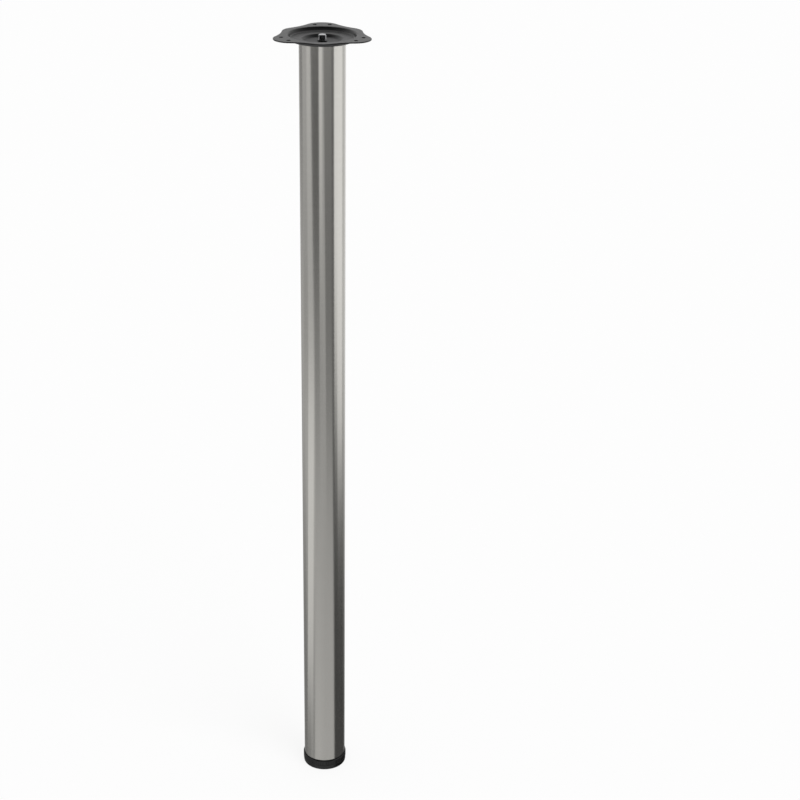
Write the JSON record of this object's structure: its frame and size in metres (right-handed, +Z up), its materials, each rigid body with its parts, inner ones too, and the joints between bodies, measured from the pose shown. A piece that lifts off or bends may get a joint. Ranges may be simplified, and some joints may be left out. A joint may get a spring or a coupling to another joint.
{
  "type": "table leg",
  "caption": "Tall round steel table leg with a lobed pressed mounting plate on top and a levelling foot below.",
  "frame": {"origin": "on the floor, at the middle of the foot, on the leg's axis", "axes": "+Z up along the leg to the table top, +Y towards one main lobe of the mounting plate"},
  "size_m": [0.1238, 0.124, 1.1],
  "materials": {
    "black_coated_steel": "semi-gloss black coating on pressed steel",
    "brushed_nickel_steel": "brushed nickel plating",
    "bare_steel": "mill finish",
    "zinc_plated_steel": "bright zinc plating",
    "black_moulded_plastic": "satin moulded",
    "black_sole_plastic": "satin moulded"
  },
  "bodies": {
    "leg": {"mounting_plate": "black_coated_steel", "leg_tube": "brushed_nickel_steel", "end_cup": "bare_steel", "weld_nut": "bare_steel", "mounting_stud": "zinc_plated_steel", "bottom_insert": "black_moulded_plastic", "insert_nut": "zinc_plated_steel"},
    "sole": {"foot_sole": "black_sole_plastic"},
    "levelling_screw": {"foot_collar": "black_moulded_plastic", "foot_spindle": "zinc_plated_steel"}
  },
  "joints": [
    {"name": "foot_height", "type": "slide", "parent": "leg", "child": "sole", "axis": [0, 0, -1], "range_m": [0, 0.02]},
    {"name": "foot_turn", "type": "hinge", "parent": "sole", "child": "levelling_screw", "pos_m": [0, 0, 0], "axis": [0, 0, -1], "range_deg": [0, 4800]}
  ],
  "couplings": [
    {"joint": "foot_height", "follows": "foot_turn", "m_per_rad": 0.00023873}
  ]
}
